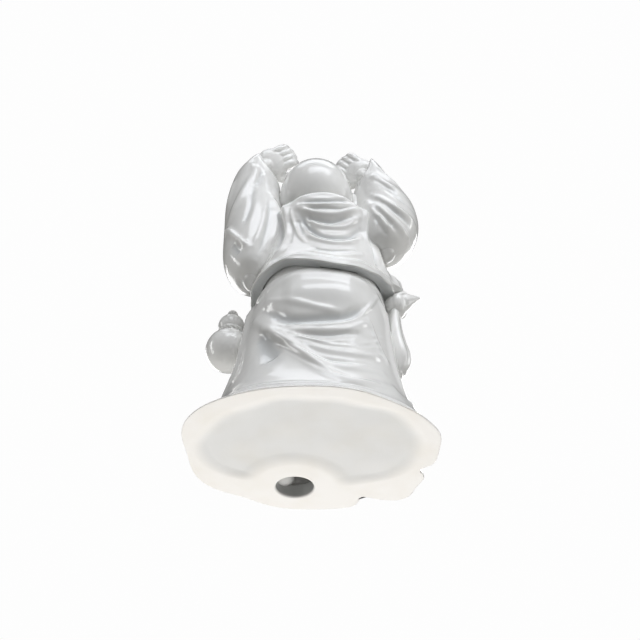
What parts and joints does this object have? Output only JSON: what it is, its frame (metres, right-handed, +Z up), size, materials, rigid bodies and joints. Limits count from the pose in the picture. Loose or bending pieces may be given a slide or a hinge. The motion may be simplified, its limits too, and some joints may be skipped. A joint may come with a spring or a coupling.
{
  "type": "laughing buddha figurine",
  "caption": "Standing laughing buddha figurine in white glazed porcelain, arms raised, draped robe, gourd at the hip, hollow, vent hole underneath.",
  "frame": {"origin": "centre of the footprint, on the plane that the foot rim stands on", "axes": "+Z up; the figure faces -Y; its left side, with the gourd, is +X"},
  "size_m": [0.13, 0.1096, 0.2474],
  "materials": {
    "glaze": "clear gloss glaze on white porcelain",
    "biscuit": "matte unglazed porcelain"
  },
  "bodies": {
    "root": {"base_plate": "biscuit", "robe_skirt": "glaze", "left_foot": "glaze", "right_foot": "glaze", "torso": "glaze", "robe_mantle": "glaze", "head": "glaze", "left_sleeve": "glaze", "right_sleeve": "glaze", "left_hand": "glaze", "right_hand": "glaze", "waist_sash": "glaze", "sash_knot": "glaze", "sash_tail": "glaze", "gourd": "glaze", "gourd_cord": "glaze"}
  },
  "joints": []
}
